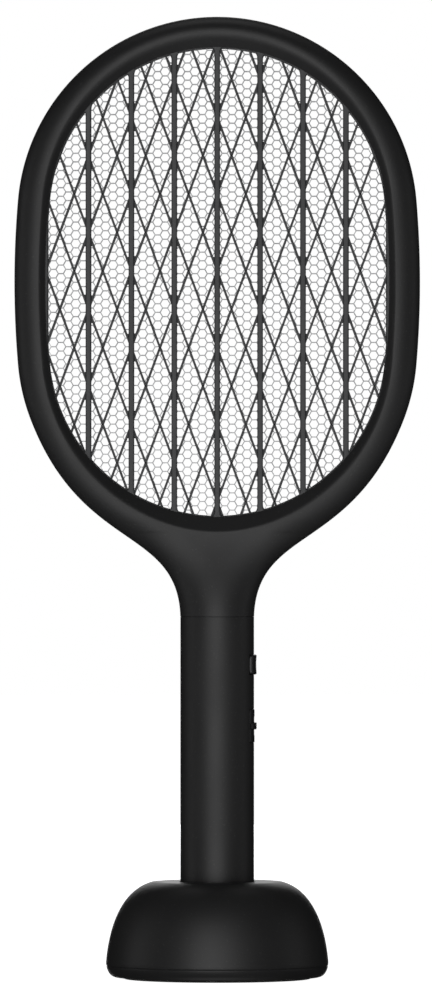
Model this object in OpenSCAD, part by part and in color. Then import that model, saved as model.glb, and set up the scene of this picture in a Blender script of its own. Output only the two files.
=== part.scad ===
// Electric fly swatter that stands upright in a round charging dock.
// Millimetres. +Z up, origin on the floor under the dock's axis, grille faces -Y, controls on +X.

/* [Head] */
// Radius of the round ends of the head
end_r = 107; // [95:1:112]
// Distance between the centres of the two round ends
end_gap = 70; // [50:1:90]
// How much wider the head's half width is than its end radius
side_bulge = 1.5; // [1:0.1:4]
// Width of the moulded rim, from the outside to the opening
rim_w = 16.5; // [14:0.5:20]
// How much further in the rim's crest lies at the sides than at the top and bottom
side_shift = 4.5; // [0:0.5:5]
// How much higher the opening's edge stands at the sides than at the top and bottom
side_lift = 2; // [0:0.5:3]
// Thickness of the head from front to back
head_t = 24; // [22:0.5:26]
// Height of the lower end's centre above the floor
low_z = 337.5; // [335:0.5:345]
// Wall of the head shells
shell_wall = 2.2; // [1.8:0.1:2.4]

/* [Grille and nets] */
// Distance between the upright ribs
rib_pitch = 22.95; // [20:0.05:26]
// Width of an upright rib
rib_w = 3; // [2:0.1:4]
// Width of a slanted bar
bar_w = 1.2; // [1:0.1:2]
// Height between two crossings in one column of the slanted bars
cross_pitch = 41.1; // [36:0.1:46]
// Distance between the cells of the net, three times the finished weave
cell_pitch = 13.8; // [12:0.1:18]
// Width of the metal between two cells
cell_wall = 1.5; // [1:0.1:2]
// Distance between the two nets
net_gap = 5; // [4:0.2:5.4]
// Thickness of a net
net_t = 0.4; // [0.3:0.05:0.6]

/* [Handle] */
// Diameter of the handle
handle_d = 39.4; // [39:0.1:40]
// Wall of the handle tube
handle_wall = 2.2; // [2:0.1:2.4]
// Height of the seam between handle and neck
seam_z = 194; // [190:0.5:196]
// Angle below the middle of the lower end at which the neck leaves the rim
flare_angle = 20.9; // [15:0.1:28]

/* [Controls] */
// Height of the trigger's centre
trigger_z = 168; // [162:0.5:170]
// Height of the trigger
trigger_h = 10.7; // [8:0.1:12]
// Width of both controls across the handle
control_w = 19.2; // [14:0.1:19.6]
// How far both controls stand out from the handle
control_out = 1.5; // [1:0.1:2]
// How far the trigger moves in
trigger_travel = 1.4; // [1:0.1:1.6]
// Height of the slide switch's centre
switch_z = 135.2; // [132:0.5:138]
// Height of the pad round the slide switch
pad_h = 18.4; // [16:0.1:20]
// Height of the slide switch's ridge
ridge_h = 3.7; // [3:0.1:4]
// How far the slide switch moves each way
switch_travel = 3; // [2:0.1:3.2]

/* [Dock] */
// Height of the dock
dock_h = 52; // [50:0.5:54]
// Radius of the dock at its widest
dock_r = 59.5; // [58:0.5:62]
// Radius of the dock's flat top
dock_top_r = 34.3; // [33:0.1:36]
// Height of the dock's widest ring
dock_wide_z = 9; // [8:0.5:10]
// Wall of the dock's cover
dock_wall = 2.4; // [2:0.1:2.6]
// Height of the socket's floor, on which the handle stands
socket_z = 22; // [21.5:0.5:23]
// Gap between the handle and its socket
socket_gap = 0.4; // [0.3:0.05:0.5]

/* [Hidden] */
$fn = 64;
eps = 0.01;
loose = 0.15;

black = [0.07, 0.07, 0.08];
soft_black = [0.11, 0.11, 0.12];
rib_grey = [0.24, 0.25, 0.27];
steel = [0.78, 0.79, 0.8];
brass = [0.85, 0.68, 0.32];
board_green = [0.1, 0.36, 0.2];

handle_r = handle_d / 2;
bore_r = handle_r - handle_wall;
high_z = low_z + end_gap;
mid_z = (low_z + high_z) / 2;
half_w = end_r + side_bulge;
half_t = head_t / 2;
// The side arcs meet the end arcs smoothly.
side_r = (half_w * half_w - end_r * end_r + end_gap * end_gap / 4) / (2 * side_bulge);
side_x = side_r - half_w;
blend = asin(end_gap / 2 / (side_r - end_r));

// ---------------------------------------------------------------- outlines

// Point of the head's outline at direction a, moved inward by off; a runs from -90 to 90 on the right side.
function rim_point(a, off) =
    abs(a) < blend
    ? [-side_x + (side_r - off) * cos(a), mid_z + (side_r - off) * sin(a)]
    : [(end_r - off) * cos(a), (a < 0 ? low_z : high_z) + (end_r - off) * sin(a)];

// Directions for one side: even steps on the ends and a few on the long side arc.
end_step = (90 - blend) / 22;
rim_angles = concat(
    [for (i = [0:22]) -90 + end_step * i],
    [for (i = [1:5]) -blend + blend * 2 * i / 6],
    [for (i = [0:22]) blend + end_step * i]
);

function oval_points(off) = concat(
    [for (a = rim_angles) rim_point(a, off)],
    [for (i = [1:len(rim_angles) - 2])
        let (p = rim_point(rim_angles[len(rim_angles) - 1 - i], off)) [-p[0], p[1]]]
);

module oval(off) polygon(oval_points(off));

// Stands a flat outline up in the XZ plane, between y0 and y1.
module plate(y0, y1) translate([0, y1, 0]) rotate([90, 0, 0]) linear_extrude(y1 - y0) children();

function bezier(p, t) =
    pow(1 - t, 3) * p[0] + 3 * pow(1 - t, 2) * t * p[1] + 3 * (1 - t) * t * t * p[2] + pow(t, 3) * p[3];

// Curve parameter at which the rising curve p reaches height z.
function bezier_at(p, z, lo = 0, hi = 1, n = 26) =
    let (mid = (lo + hi) / 2)
    n == 0 ? mid : bezier(p, mid)[1] < z ? bezier_at(p, z, mid, hi, n - 1) : bezier_at(p, z, lo, mid, n - 1);

// The neck's outline runs from the handle into the rim.
flare_end = rim_point(-flare_angle, 0);
flare_start = [handle_r, seam_z - 2.8];
flare = [
    flare_start,
    flare_start + [0, 51.5],
    flare_end - 78.3 * [sin(flare_angle), cos(flare_angle)],
    flare_end
];
function neck_x(z) =
    z <= seam_z ? handle_r : z < flare_end[1] ? bezier(flare, bezier_at(flare, z))[0]
    : sqrt(end_r * end_r - (z - low_z) * (z - low_z));

// ---------------------------------------------------------------- head shells

crest = rim_w / 2;
// Distance of the crest from the outline, and height of the opening's edge, at direction a.
function crest_in(a) = crest + side_shift * pow(cos(a), 2);
function lip_y(a) = lip_out + side_lift * pow(cos(a), 2);
lip_out = 7;
lip_in = net_gap / 2 + net_t + 2.2;
ledge = 3;
ridge_z = low_z - end_r + crest;
neck_steps = 8;
function ease(t) = t * t * (3 - 2 * t);
// Half depth of the neck at height z, from the handle's radius to the rim's.
function neck_t(z) = handle_r + (half_t - handle_r) * ease((z - seam_z) / (ridge_z - seam_z));

// Each station is [outline point, crest point, half depth, direction]; the neck comes first, then the rim.
function turn_in(a) = ease(max(0, min(1, (-a - 50) / 40)));
stations = concat(
    [for (i = [0:neck_steps - 1])
        let (z = seam_z + (ridge_z - seam_z) * i / neck_steps)
        [[neck_x(z), z], [0, z], neck_t(z), -90]],
    [for (a = rim_angles)
        let (
            crest_at = rim_point(a, crest_in(a)),
            radial = rim_point(a, 0),
            z = crest_at[1] + (radial[1] - crest_at[1]) * (1 - turn_in(a)),
            out = a < -blend ? [neck_x(z), z] : radial
        )
        [out, crest_at, half_t, a]]
);
arc_steps = 6;
arc = arc_steps + 1;
ring_n = 2 * arc + 3;

// One station's section: outer quarter, opening lip and ledge, inner quarter.
function section(s) =
    let (
        inward = (s[1] - s[0]) / norm(s[1] - s[0]),
        inner = s[0] + shell_wall * inward,
        hole = rim_point(s[3], rim_w),
        shelf = rim_point(s[3], rim_w - ledge)
    )
    concat(
        [for (j = [0:arc_steps])
            let (b = 90 * j / arc_steps, p = s[0] + (s[1] - s[0]) * (1 - cos(b)))
            [p[0], -s[2] * sin(b), p[1]]],
        [[hole[0], -lip_y(s[3]), hole[1]], [hole[0], -lip_in, hole[1]], [shelf[0], -lip_in, shelf[1]]],
        [for (j = [arc_steps:-1:0])
            let (b = 90 * j / arc_steps, p = inner + (s[1] - inner) * (1 - cos(b)))
            [p[0], -(s[2] - shell_wall) * sin(b), p[1]]]
    );
right_half = [for (s = stations) for (p = section(s)) p];
half_count = len(right_half);
last = len(stations) - 1;
function quad(i, j, k) = [[i * ring_n + j, i * ring_n + k, (i + 1) * ring_n + k],
                          [i * ring_n + j, (i + 1) * ring_n + k, (i + 1) * ring_n + j]];
right_faces = concat(
    [for (i = [0:last - 1]) for (j = [0:arc_steps - 1]) for (f = quad(i, j, j + 1)) f],
    [for (i = [0:last - 1]) for (j = [arc + 3:ring_n - 2]) for (f = quad(i, j, j + 1)) f],
    [for (i = [neck_steps:last - 1]) for (j = [arc - 1:arc + 2]) for (f = quad(i, j, j + 1)) f],
    [for (i = [0:last - 1]) for (f = quad(i, ring_n - 1, 0)) f],
    [for (j = [0:arc_steps - 1]) [j + 1, j, ring_n - 1 - j]],
    [for (j = [0:arc_steps - 1]) [j + 1, ring_n - 1 - j, ring_n - 2 - j]]
);
// The left half mirrors the right one and shares its points on the middle plane.
function mirrored(k) = abs(right_half[k][0]) < 1e-6 ? k : k + half_count;
shell_points = concat(
    [for (p = right_half) [abs(p[0]) < 1e-6 ? 0 : p[0], p[1], p[2]]],
    [for (p = right_half) [-p[0], p[1], p[2]]]
);
shell_faces = concat(
    right_faces,
    [for (f = right_faces) [mirrored(f[0]), mirrored(f[2]), mirrored(f[1])]]
);

// Places of the screws that hold the two head shells together.
boss_in = 8.6;
screw_spots = concat(
    [for (a = [-28, 0, 45]) for (s = [-1, 1]) let (p = rim_point(a, boss_in)) [s * p[0], p[1]]],
    [for (s = [-1, 1]) [s * 24, ridge_z - 5]]
);
boss_d = 6.4;
spigot_r = bore_r - loose;
spigot_wall = 2.1;
spigot_h = 14;

// Front head shell with its half of the spigot that the handle tube slides over.
module head_half(boss_top) {
    polyhedron(shell_points, shell_faces);
    intersection() {
        union() {
            translate([0, 0, seam_z - spigot_h]) difference() {
                cylinder(r = spigot_r, h = spigot_h + 2.2);
                translate([0, 0, -1]) cylinder(r = spigot_r - spigot_wall, h = spigot_h + 5);
            }
            translate([0, 0, seam_z + 0.2]) difference() {
                cylinder(r = bore_r + 1, h = 2);
                translate([0, 0, -1]) cylinder(r = spigot_r - 1, h = 4);
            }
        }
        translate([-50, -50, 0]) cube([100, 50 - 0.05, 400]);
    }
    for (p = screw_spots)
        translate([p[0], -0.05, p[1]]) rotate([90, 0, 0]) cylinder(d = boss_d, h = boss_top);
}

module head_front_shell() color(black) difference() {
    head_half(9.6);
    for (p = screw_spots)
        translate([p[0], 1, p[1]]) rotate([90, 0, 0]) cylinder(d = 2.6, h = 9);
}

module head_rear_shell() color(black) difference() {
    mirror([0, 1, 0]) head_half(9.6);
    for (p = screw_spots) translate([p[0], 0, p[1]]) rotate([-90, 0, 0]) {
        translate([0, 0, -1]) cylinder(d = 3.2, h = 20);
        translate([0, 0, 6]) cylinder(d = 5, h = 20);
    }
    translate([0, 0, screw_heights[0]]) rotate([-90, 0, 0]) cylinder(d = 3.2, h = 30);
}

module frame_screws() color(steel) for (p = screw_spots)
    translate([p[0], 0, p[1]]) rotate([-90, 0, 0]) {
        translate([0, 0, -7]) cylinder(d = 2.6, h = 13.2);
        translate([0, 0, 6]) cylinder(d = 4.6, h = 1.9);
    }

// ---------------------------------------------------------------- grilles and nets

grille_front = lip_out - 0.4;
grille_back = net_gap / 2 + net_t;
bar_length = 2 * (end_r + end_gap);
bar_angle = atan(cross_pitch / 2 / (rib_pitch / 3));
bar_depth = 1.6;

module ribs() for (k = [-4:4])
    translate([k * rib_pitch - rib_w / 2, low_z - end_r]) square([rib_w, bar_length]);

// Two sets of slanted bars that cross every third of a rib pitch.
module bars() for (k = [-14:14]) for (s = [-1, 1])
    translate([k * rib_pitch * 2 / 3, low_z]) rotate(s * (90 - bar_angle))
        translate([-bar_w / 2, -bar_length]) square([bar_w, 2 * bar_length]);

module grille() color(rib_grey) {
    plate(-grille_front, -grille_back) intersection() {
        ribs();
        oval(rim_w + 0.1);
    }
    plate(-grille_back - bar_depth, -grille_back) intersection() {
        bars();
        oval(rim_w + 0.1);
    }
    plate(-lip_in, -grille_back) difference() {
        oval(rim_w - 4.5);
        oval(rim_w + 0.6);
    }
}
module front_grille() grille();
module rear_grille() mirror([0, 1, 0]) grille();

column_step = cell_pitch * sqrt(3) / 2;
cell_r = (cell_pitch - cell_wall) / sqrt(3);
function near_opening(x, z) =
    norm([x, max(0, abs(z - mid_z) - end_gap / 2)]) < end_r - rim_w + cell_r / 2;

// Hexagons in staggered columns that fill the opening.
module cells() for (i = [-8:8]) for (j = [-11:11])
    let (x = i * column_step, z = mid_z + (j + (i % 2 == 0 ? 0 : 0.5)) * cell_pitch)
    if (near_opening(x, z)) translate([x, z]) circle(r = cell_r, $fn = 6);

module net() color(steel) plate(0, net_t) {
    difference() {
        oval(rim_w - 4);
        intersection() {
            cells();
            oval(rim_w);
        }
    }
    for (s = [-1, 1]) translate([s * 8 - 2, low_z - end_r + rim_w - 4 - 5]) square([4, 8]);
}
module ground_net() translate([0, -net_gap / 2 - net_t, 0]) net();
module live_net() translate([0, net_gap / 2, 0]) net();

module net_spacer() color(soft_black) plate(-net_gap / 2, net_gap / 2) difference() {
    oval(rim_w - 3.8);
    oval(rim_w - 0.2);
}

// ---------------------------------------------------------------- handle

cap_z = socket_z + 0.05;
tube_z = cap_z + 3;
tube_top = seam_z - 0.3;
pad_x = 6.5;
pad_face = 0.9;
screw_heights = [seam_z - 8, 62];

// A curved block on the handle's right side: radii r0 to r1, w wide in Y, z0 to z1.
module side_patch(r0, r1, w, z0, z1) intersection() {
    translate([0, 0, z0]) difference() {
        cylinder(r = r1, h = z1 - z0);
        translate([0, 0, -1]) cylinder(r = r0, h = z1 - z0 + 2);
    }
    translate([0, -w / 2, z0]) cube([handle_d, w, z1 - z0]);
}

module handle_tube() color(soft_black) difference() {
    translate([0, 0, tube_z]) cylinder(r = handle_r, h = tube_top - tube_z);
    translate([0, 0, tube_z - 1]) cylinder(r = bore_r, h = tube_top - tube_z + 2);
    translate([5, -control_w / 2 - 0.25, trigger_z - trigger_h / 2 - 0.25])
        cube([20, control_w + 0.5, trigger_h + 0.5]);
    translate([5, -control_w / 2, switch_z - pad_h / 2]) cube([20, control_w, pad_h]);
    for (z = screw_heights) translate([0, 0, z]) rotate([-90, 0, 0]) cylinder(d = 3.2, h = 30);
    for (z = screw_heights) translate([0, handle_r - 1.2, z]) rotate([-90, 0, 0]) cylinder(d = 5.6, h = 5);
}

module handle_end_cap() color(black) difference() {
    union() {
        translate([0, 0, cap_z]) cylinder(r1 = handle_r - 0.8, r2 = handle_r, h = 0.8);
        translate([0, 0, cap_z + 0.8]) cylinder(r = handle_r, h = tube_z - cap_z - 0.8);
        translate([0, 0, tube_z - eps]) cylinder(r = bore_r - 0.05, h = 6);
    }
    translate([0, 0, tube_z + 1]) cylinder(r = bore_r - 2, h = 10);
    for (s = [-1, 1]) translate([s * pad_x, 0, cap_z - 1]) cylinder(d = 5, h = 12);
}

module contact_pads() color(brass) for (s = [-1, 1]) translate([s * pad_x, 0, cap_z + pad_face]) {
    cylinder(d = 4.9, h = 3.2);
    translate([0, 0, 3.1]) cylinder(d = 6.4, h = 0.8);
}

chassis_r = bore_r - 0.2;
spigot_bore = spigot_r - spigot_wall;
board_x = 2;
board_t = 1.6;
chassis_z = 34;
chassis_top = seam_z - 1;
neck_end = seam_z - spigot_h - 1;

// Half round cradle, open to +X, that carries the battery and the board.
module inner_chassis() color(soft_black) difference() {
    union() {
        intersection() {
            union() {
                translate([0, 0, chassis_z]) cylinder(r = chassis_r, h = neck_end - chassis_z);
                translate([0, 0, neck_end - 1]) cylinder(r = spigot_bore - loose, h = chassis_top - neck_end + 1);
            }
            translate([-40, -40, 0]) cube([40 + board_x, 80, 400]);
        }
    }
    translate([0, 0, chassis_z + 2]) cylinder(r = chassis_r - 1.8, h = neck_end - chassis_z - 3);
    translate([0, 0, neck_end - 3]) cylinder(r = spigot_bore - loose - 1.8, h = 60);
    for (z = screw_heights) translate([0, 0, z]) rotate([-90, 0, 0]) cylinder(d = 2.6, h = 30);
}

module battery_cell() color([0.2, 0.42, 0.6]) translate([0, 0, chassis_z + 3]) {
    cylinder(d = 18.3, h = 64);
    translate([0, 0, 64 - eps]) cylinder(d = 6, h = 1.2);
}

board_z = chassis_z + 72;
board_h = neck_end - board_z - 1;
module main_board() color(board_green) {
    translate([board_x, -chassis_r + 1.2, board_z]) cube([board_t, 2 * chassis_r - 2.4, board_h]);
    translate([board_x, -9, board_z + board_h - eps]) cube([board_t, 18, 10]);
}

module hv_transformer() color([0.75, 0.6, 0.15]) translate([board_x - 12, -8, board_z + 6]) difference() {
    cube([12, 16, 18]);
    translate([3, -1, 4]) cube([6, 3, 10]);
    translate([3, 14, 4]) cube([6, 3, 10]);
}

module hv_capacitor() color([0.6, 0.25, 0.1]) translate([board_x - 7.5, -9, board_z + 34]) cube([7.5, 18, 12]);

tact_x = board_x + board_t;
module trigger_switch() color([0.15, 0.15, 0.16]) {
    translate([tact_x, -3, trigger_z - 3]) cube([3.6, 6, 6]);
    translate([tact_x + 3.5, 0, trigger_z]) rotate([0, 90, 0]) cylinder(d = 3.2, h = 1.2);
}

module slide_switch() color([0.7, 0.7, 0.72]) translate([tact_x, -3.6, switch_z - 7]) difference() {
    cube([5, 7.2, 14]);
    translate([2.4, 2, 1.8]) cube([5, 3.2, 10.4]);
}

pad_r = handle_r + 0.5;
module switch_bezel() color(black) difference() {
    union() {
        side_patch(bore_r + 0.4, pad_r, control_w - 0.2, switch_z - pad_h / 2 + 0.1, switch_z + pad_h / 2 - 0.1);
        side_patch(bore_r - 1.2, bore_r - 0.05, control_w + 2.4, switch_z - pad_h / 2 - 1.2, switch_z + pad_h / 2 + 1.2);
        side_patch(bore_r - 1, bore_r + 1, control_w - 0.6, switch_z - pad_h / 2 + 0.3, switch_z + pad_h / 2 - 0.3);
    }
    translate([5, -2.6, switch_z - ridge_h / 2 - switch_travel - 0.3])
        cube([30, 5.2, ridge_h + 2 * switch_travel + 0.6]);
}

module power_slider() color(black) {
    side_patch(pad_r + 0.1, handle_r + control_out, control_w - 0.8, switch_z - ridge_h / 2, switch_z + ridge_h / 2);
    translate([tact_x + 3, -1.3, switch_z - 1.2]) cube([8, 2.6, 2.4]);
    translate([tact_x + 5.4, -2.3, switch_z - ridge_h / 2]) cube([handle_r + 1 - tact_x - 5.4, 4.6, ridge_h]);
}

// Trigger: curved cap through the handle's window, a flange behind the wall and a stem to its switch.
flange_x = 11.8;
module trigger_button() color(black) {
    intersection() {
        translate([0, 0, trigger_z - trigger_h / 2]) cylinder(r = handle_r + control_out, h = trigger_h);
        translate([flange_x + 0.5, -control_w / 2, trigger_z - trigger_h / 2]) cube([20, control_w, trigger_h]);
    }
    translate([flange_x, -10.6, trigger_z - trigger_h / 2 - 1]) cube([1.4, 21.2, trigger_h + 2]);
    translate([tact_x + 4.7 + trigger_travel + 0.1, 0, trigger_z]) rotate([0, 90, 0]) cylinder(d = 3, h = 3);
}

module trigger_spring() color(steel) translate([tact_x + 0.05, 0, trigger_z]) rotate([0, 90, 0]) difference() {
    cylinder(d = 11, h = flange_x - tact_x - 0.1);
    translate([0, 0, -1]) cylinder(d = 9.6, h = 30);
}

module hv_leads() color([0.7, 0.1, 0.1]) for (s = [-1, 1])
    translate([tact_x + 0.9, s * (net_gap / 2 + net_t + 0.9), neck_end - 4]) cylinder(d = 1.7, h = 62);

module handle_screws() color(steel) for (z = screw_heights) translate([0, 0, z]) rotate([-90, 0, 0]) {
    translate([0, 0, 12]) cylinder(d = 2.6, h = handle_r - 13);
    translate([0, 0, handle_r - 1.2]) cylinder(d = 5, h = 1);
}

// ---------------------------------------------------------------- dock

dome = [[dock_top_r, dock_h], [dock_top_r + 13.8, dock_h - 3.4], [dock_r - 2.2, dock_wide_z + 25], [dock_r, dock_wide_z]];
dock_foot_r = dock_r - 5;
dock_z0 = 1;
function dome_normal(t) =
    let (d = bezier(dome, min(1, t + 0.01)) - bezier(dome, max(0, t - 0.01))) [-d[1], d[0]] / norm(d);
dome_out = concat([for (i = [0:14]) bezier(dome, i / 14)],
    [for (i = [1:6]) [dock_foot_r + 5 * cos(15 * i), dock_wide_z - (dock_wide_z - dock_z0) * sin(15 * i)]]);
dome_in = concat(
    [for (i = [14:-1:1]) bezier(dome, i / 14) - dock_wall * dome_normal(i / 14)],
    [[dock_top_r, dock_h - dock_wall]]
);
foot_in = [for (i = [6:-1:1])
    [dock_foot_r - dock_wall + 5 * cos(15 * i), dock_wide_z - (dock_wide_z - dock_z0) * sin(15 * i)]];
socket_r = handle_r + socket_gap;
boss_r = 41;
base_screw_z = 3.2;

module around(n, r) for (i = [0:n - 1]) rotate([0, 0, -90 + 360 / n * i]) translate([r, 0, 0]) children();

module dock_shell() color(black) difference() {
    union() {
        rotate_extrude($fn = 128) polygon(concat([[socket_r, dock_h]], dome_out, foot_in, dome_in,
            [[socket_r, dock_h - dock_wall]]));
        intersection() {
            around(3, boss_r) translate([0, 0, 4]) cylinder(d = 8, h = 50);
            rotate_extrude($fn = 128) polygon(concat([[0, 4], [0, inner_fill[0][1]]], inner_fill, [[dock_r - 2, 4]]));
        }
    }
    around(3, boss_r) translate([0, 0, 3]) cylinder(d = 2.6, h = 16);
    translate([-4.8, 40, inlet_z - 2]) cube([9.6, 30, 4]);
}
// Space under the dome, a little into its wall, that trims the tops of the screw posts.
inner_fill = [for (i = [0:14]) bezier(dome, i / 14) - (dock_wall - 0.8) * dome_normal(i / 14)];

module socket_cup() color(soft_black) difference() {
    union() {
        translate([0, 0, socket_z - 2.5]) cylinder(r = socket_r + 2, h = dock_h - dock_wall - socket_z + 2.5);
        translate([0, 0, dock_h - dock_wall - 2]) cylinder(r = 30, h = 2);
    }
    translate([0, 0, socket_z]) cylinder(r = socket_r, h = 60);
    for (s = [-1, 1]) translate([s * pad_x, 0, 0]) cylinder(d = 2.9, h = 60);
}

module base_plate() color(soft_black) {
    difference() {
        translate([0, 0, dock_z0]) cylinder(r = dock_foot_r - dock_wall - 0.15, h = 3);
        around(3, boss_r) cylinder(d = 3.2, h = 20);
        around(3, boss_r) cylinder(d = 5.8, h = base_screw_z);
    }
    for (p = board_posts) translate([p[0], p[1], dock_z0 + 3 - eps]) cylinder(d = 5, h = dock_board_z - dock_z0 - 3 + eps);
}

module foot_ring() color([0.16, 0.16, 0.17]) difference() {
    cylinder(r = 50, h = dock_z0);
    translate([0, 0, -1]) cylinder(r = 45.5, h = 4);
}

module base_screws() color(steel) around(3, boss_r) {
    translate([0, 0, base_screw_z - 1.8]) cylinder(d = 5.2, h = 1.8);
    translate([0, 0, base_screw_z - eps]) cylinder(d = 2.6, h = 12);
}

dock_board_z = 11;
inlet_z = dock_board_z + 1.6 + 1.65;
board_posts = [[-11, -9], [11, -9], [-11, 34], [11, 34]];
module ballast_plate() color([0.55, 0.56, 0.58]) difference() {
    translate([0, 0, dock_z0 + 3]) cylinder(r = 50, h = 5);
    cylinder(r = 24, h = 20);
    around(3, boss_r) cylinder(d = 9, h = 20);
    for (p = board_posts) translate([p[0], p[1], 0]) cylinder(d = 6.5, h = 20);
}

module charge_board() color(board_green) translate([-15, -14, dock_board_z]) cube([30, 64, 1.6]);

module charge_inlet() color(steel) difference() {
    translate([-4.5, 48.5, dock_board_z + 1.6]) cube([9, 9.5, 3.3]);
    translate([-4.1, 51, dock_board_z + 2]) cube([8.2, 9, 2.5]);
}

housing_z = dock_board_z + 1.6;
pin_top = cap_z + pad_face - 0.05;
collar_z = housing_z + 3.4;
module pin_housing() color(black) difference() {
    translate([-12, -4.5, housing_z]) cube([24, 9, socket_z - 2.5 - housing_z]);
    for (s = [-1, 1]) translate([s * pad_x, 0, housing_z + 0.8]) cylinder(d = 3.8, h = 4.9);
    for (s = [-1, 1]) translate([s * pad_x, 0, housing_z + 1]) cylinder(d = 2.5, h = 20);
}

module contact_pin(x) color(brass) translate([x, 0, 0]) {
    translate([0, 0, collar_z]) cylinder(d = 3.4, h = 1);
    translate([0, 0, collar_z + 1 - eps]) cylinder(d = 2.2, h = pin_top - 0.5 - collar_z - 1 + eps);
    translate([0, 0, pin_top - 0.5 - eps]) cylinder(r1 = 1.1, r2 = 0.6, h = 0.5 + eps);
}
module contact_pin_left() contact_pin(-pad_x);
module contact_pin_right() contact_pin(pad_x);

module pin_spring(x) color(steel) translate([x, 0, housing_z + 0.85]) difference() {
    cylinder(d = 3.2, h = collar_z - housing_z - 0.9);
    translate([0, 0, -1]) cylinder(d = 2.4, h = 10);
}
module pin_spring_left() pin_spring(-pad_x);
module pin_spring_right() pin_spring(pad_x);

dock_shell();
socket_cup();
base_plate();
foot_ring();
ballast_plate();
base_screws();
charge_board();
charge_inlet();
pin_housing();
contact_pin_left();
contact_pin_right();
pin_spring_left();
pin_spring_right();
head_front_shell();
head_rear_shell();
front_grille();
rear_grille();
ground_net();
live_net();
net_spacer();
frame_screws();
handle_tube();
handle_end_cap();
contact_pads();
inner_chassis();
battery_cell();
main_board();
hv_transformer();
hv_capacitor();
trigger_switch();
slide_switch();
switch_bezel();
hv_leads();
handle_screws();
trigger_button();
trigger_spring();
power_slider();
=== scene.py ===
# %% [markdown]
# # An electric fly swatter standing in its charging dock
#
# The object is a racket: two moulded shells clamp two plastic grilles and two bright metal nets, and a
# round handle below them stands in the socket of a domed dock. Almost everything is black, so the looks
# come from shape, from the way each plastic spreads the light, and from the glitter of the nets.
#
# The frame brings every part in at its real size and place. This file gives most of the visible parts a
# smoother surface in the same place, and every part a finish.

import math

import bmesh
import bpy
import numpy as np
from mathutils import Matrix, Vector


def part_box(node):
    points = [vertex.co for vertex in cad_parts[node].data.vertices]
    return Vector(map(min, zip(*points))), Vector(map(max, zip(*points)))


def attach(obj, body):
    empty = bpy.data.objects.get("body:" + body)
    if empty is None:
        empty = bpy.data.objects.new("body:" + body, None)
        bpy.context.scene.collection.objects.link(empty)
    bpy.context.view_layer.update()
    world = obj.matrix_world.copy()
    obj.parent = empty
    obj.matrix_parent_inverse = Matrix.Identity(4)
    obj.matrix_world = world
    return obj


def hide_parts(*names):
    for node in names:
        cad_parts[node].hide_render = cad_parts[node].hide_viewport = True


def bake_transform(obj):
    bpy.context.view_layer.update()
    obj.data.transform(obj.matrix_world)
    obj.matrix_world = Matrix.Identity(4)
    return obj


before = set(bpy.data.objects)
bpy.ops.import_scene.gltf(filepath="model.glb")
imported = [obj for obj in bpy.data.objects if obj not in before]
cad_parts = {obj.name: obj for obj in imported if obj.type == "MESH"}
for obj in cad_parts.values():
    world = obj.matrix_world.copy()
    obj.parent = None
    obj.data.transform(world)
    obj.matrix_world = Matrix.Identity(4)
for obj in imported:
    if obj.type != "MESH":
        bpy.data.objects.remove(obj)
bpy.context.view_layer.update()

# %% [markdown]
# ## Driving sizes
#
# Shapes are worked out in millimetres, because that is how such a product is drawn, and turned into
# metres when a mesh is made. What the frame knows is read from it; the rest are the few sizes that a
# box cannot tell, such as the width of the rim.

# %% Sizes read from the frame, and the few that are not in it
MM = 0.001


def box_mm(node):
    """Lowest and highest corner of a node, in millimetres."""
    low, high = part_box(node)
    return np.array(low) / MM, np.array(high) / MM


shell_high = box_mm("head_front_shell")[1]
tube_low, tube_high = box_mm("handle_tube")
dock_high = box_mm("dock_shell")[1]

half_w = shell_high[0]  # half of the head's width
side_bulge = 1.5  # how far the sides stand out past the two end arcs
end_r = half_w - side_bulge
end_gap = 70.0  # between the centres of the two end arcs
high_z = shell_high[2] - end_r
low_z = high_z - end_gap
mid_z = (low_z + high_z) / 2
rim_w = 16.5  # from the outline in to the opening
half_t = 12.0  # from the parting plane to the crest
wall = 2.2  # of the shells and of the handle
handle_r = tube_high[0]
bore_r = handle_r - wall
seam_z = tube_high[2] + 0.3
lip_out = 7.0  # height of the opening's edge at the top and the bottom
lip_in = 5.1  # height of the ledge that the grille lies on
crest = rim_w / 2  # from the outline in to the crest, at the top and the bottom
side_shift = 4.5  # how much further in the crest is at the sides
side_lift = 2.0  # how much higher the opening's edge is at the sides
crest_low_z = low_z - end_r + crest
print("head", 2 * half_w, "wide; handle", 2 * handle_r, "across; seam at", round(seam_z, 1))

# %% [markdown]
# ## From arrays to a mesh
#
# A surface here is a grid of points: rows along one parameter, columns along the other. Neighbouring
# points give the quads, so one small function serves every shape. Where a grid closes on itself, the
# last line joins the first; where it shrinks to a pole, the doubled points are merged afterwards.

# %% Grids, joining and the finished piece


def grid(points, wrap_rows=False, wrap_cols=False):
    """Points of shape (rows, cols, 3) and the quads between neighbours; wrap joins last to first."""
    rows, cols = points.shape[:2]
    i, j = np.meshgrid(
        np.arange(rows if wrap_rows else rows - 1),
        np.arange(cols if wrap_cols else cols - 1),
        indexing="ij",
    )
    i2, j2 = (i + 1) % rows, (j + 1) % cols
    quads = np.stack([i * cols + j, i * cols + j2, i2 * cols + j2, i2 * cols + j], -1)
    return points.reshape(-1, 3), quads.reshape(-1, 4)


def capped(rings):
    """A bar of closed rings, its two ends closed by rings that shrink to their middle."""
    ends = rings[[0, -1]].mean(1, keepdims=True).repeat(rings.shape[1], 1)
    return grid(np.concatenate([ends[:1], rings, ends[1:]]), wrap_cols=True)


def joined(parts):
    """Several (points, quads) surfaces as one, with the quads counted on."""
    starts = np.cumsum([0] + [len(p) for p, _ in parts[:-1]])
    return (
        np.concatenate([p for p, _ in parts]),
        np.concatenate([q + s for (_, q), s in zip(parts, starts)]),
    )


def mirrored(part, axis):
    """The same surface on the other side of the plane through the origin."""
    flip = np.ones(3)
    flip[axis] = -1
    return part[0] * flip, part[1]


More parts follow.
